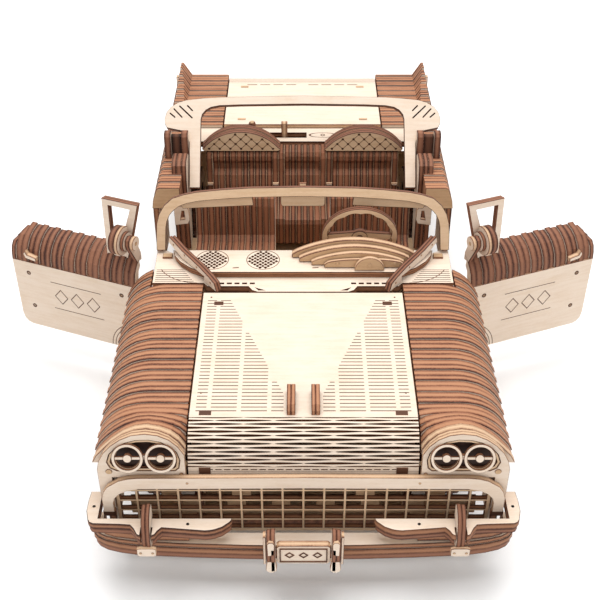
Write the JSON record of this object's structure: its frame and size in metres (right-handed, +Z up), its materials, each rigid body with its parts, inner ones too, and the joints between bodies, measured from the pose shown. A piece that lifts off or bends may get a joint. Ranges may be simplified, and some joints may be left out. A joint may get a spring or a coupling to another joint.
{
  "type": "wooden model car",
  "caption": "Laser-cut plywood model of a finned cabriolet with opening doors, bonnet and boot, steered front wheels and a geared rear axle.",
  "frame": {"origin": "on the ground under the middle of the bounding box, with the doors open", "axes": "-Y is the front of the car, +X its left (driver's) side, +Z up"},
  "size_m": [0.2544, 0.31, 0.0896],
  "materials": {
    "birch_face": "matte laser-cut birch plywood face",
    "burnt_edge": "stacked laser-burnt plywood edges",
    "dark_slats": "dark burnt slats",
    "tan_ply": "lightly scorched plywood"
  },
  "bodies": {
    "chassis": {"chassis_plate": "birch_face", "left_chassis_rail": "birch_face", "right_chassis_rail": "birch_face", "front_axle_beam": "tan_ply", "firewall": "tan_ply", "left_front_fender": "burnt_edge", "right_front_fender": "burnt_edge", "left_front_side": "birch_face", "right_front_side": "birch_face", "left_rear_fender": "burnt_edge", "right_rear_fender": "burnt_edge", "left_rear_side": "birch_face", "right_rear_side": "birch_face", "left_sill": "tan_ply", "right_sill": "tan_ply", "grille_frame": "birch_face", "grille_lattice": "birch_face", "left_headlight_panel": "birch_face", "right_headlight_panel": "birch_face", "left_headlights": "birch_face", "right_headlights": "birch_face", "front_bumper": "burnt_edge", "left_bumper_wing": "birch_face", "right_bumper_wing": "birch_face", "left_overrider": "dark_slats", "right_overrider": "dark_slats", "plate_bracket": "birch_face", "number_plate": "birch_face", "rear_bumper": "burnt_edge", "rear_panel": "birch_face", "dash_top": "birch_face", "instrument_binnacle": "tan_ply", "windscreen_frame": "birch_face", "left_windscreen_rail": "dark_slats", "right_windscreen_rail": "dark_slats", "rear_view_mirror": "tan_ply", "left_front_seat": "dark_slats", "right_front_seat": "dark_slats", "rear_seat": "dark_slats", "left_headrest": "birch_face", "right_headrest": "birch_face", "parcel_shelf": "birch_face", "rear_hoop": "birch_face", "engine_block": "tan_ply"},
    "bonnet": {"bonnet": "birch_face"},
    "boot_lid": {"boot_lid": "birch_face"},
    "left_door": {"left_door": "birch_face"},
    "right_door": {"right_door": "birch_face"},
    "steering_wheel": {"steering_wheel": "tan_ply"},
    "left_knuckle": {"left_knuckle": "tan_ply"},
    "right_knuckle": {"right_knuckle": "tan_ply"},
    "left_front_wheel": {"left_front_wheel": "burnt_edge"},
    "right_front_wheel": {"right_front_wheel": "burnt_edge"},
    "rear_axle": {"rear_axle": "tan_ply", "left_rear_wheel": "burnt_edge", "right_rear_wheel": "burnt_edge"},
    "motor_pinion": {"motor_pinion": "tan_ply"},
    "engine_fan": {"engine_fan": "birch_face"},
    "drive_lever": {"drive_lever": "tan_ply"},
    "shelf_knob": {"shelf_knob": "tan_ply"}
  },
  "joints": [
    {"name": "bonnet_hinge", "type": "hinge", "parent": "chassis", "child": "bonnet", "pos_m": [0, -0.051, 0.062], "axis": [-1, 0, 0], "range_deg": [0, 50]},
    {"name": "boot_hinge", "type": "hinge", "parent": "chassis", "child": "boot_lid", "pos_m": [0, 0.0906, 0.062], "axis": [1, 0, 0], "range_deg": [0, 60]},
    {"name": "left_door_hinge", "type": "hinge", "parent": "chassis", "child": "left_door", "pos_m": [0.0703, -0.0318, 0.035], "axis": [0, 0, 1], "range_deg": [0, 69]},
    {"name": "right_door_hinge", "type": "hinge", "parent": "chassis", "child": "right_door", "pos_m": [-0.0703, -0.0318, 0.035], "axis": [0, 0, 1], "range_deg": [-69, 0]},
    {"name": "left_steer", "type": "hinge", "parent": "chassis", "child": "left_knuckle", "pos_m": [0.0455, -0.093, 0.02], "axis": [0, 0, 1], "range_deg": [-20, 20]},
    {"name": "right_steer", "type": "hinge", "parent": "chassis", "child": "right_knuckle", "pos_m": [-0.0455, -0.093, 0.02], "axis": [0, 0, 1], "range_deg": [-20, 20]},
    {"name": "steering_wheel_turn", "type": "hinge", "parent": "chassis", "child": "steering_wheel", "pos_m": [0.024, -0.016, 0.066], "axis": [0, 0.9848, 0.1736], "range_deg": [-60, 60]},
    {"name": "left_front_wheel_spin", "type": "hinge", "parent": "left_knuckle", "child": "left_front_wheel", "pos_m": [0.056, -0.093, 0.02], "axis": [1, 0, 0], "continuous": true},
    {"name": "right_front_wheel_spin", "type": "hinge", "parent": "right_knuckle", "child": "right_front_wheel", "pos_m": [-0.056, -0.093, 0.02], "axis": [1, 0, 0], "continuous": true},
    {"name": "rear_axle_spin", "type": "hinge", "parent": "chassis", "child": "rear_axle", "pos_m": [0, 0.081, 0.02], "axis": [1, 0, 0], "continuous": true},
    {"name": "motor_pinion_spin", "type": "hinge", "parent": "chassis", "child": "motor_pinion", "pos_m": [0, 0.09613, 0.03182], "axis": [1, 0, 0], "continuous": true},
    {"name": "engine_fan_spin", "type": "hinge", "parent": "chassis", "child": "engine_fan", "pos_m": [0, -0.1154, 0.034], "axis": [0, 1, 0], "continuous": true},
    {"name": "drive_lever_hinge", "type": "hinge", "parent": "chassis", "child": "drive_lever", "pos_m": [-0.009, 0.083, 0.044], "axis": [0, 1, 0], "range_deg": [-8, 8]},
    {"name": "shelf_knob_hinge", "type": "hinge", "parent": "chassis", "child": "shelf_knob", "pos_m": [-0.025, 0.082, 0.05], "axis": [1, 0, 0], "range_deg": [-10, 10]}
  ],
  "couplings": [
    {"joint": "right_steer", "follows": "left_steer", "ratio": 1},
    {"joint": "steering_wheel_turn", "follows": "left_steer", "ratio": 3},
    {"joint": "motor_pinion_spin", "follows": "rear_axle_spin", "ratio": -2}
  ]
}
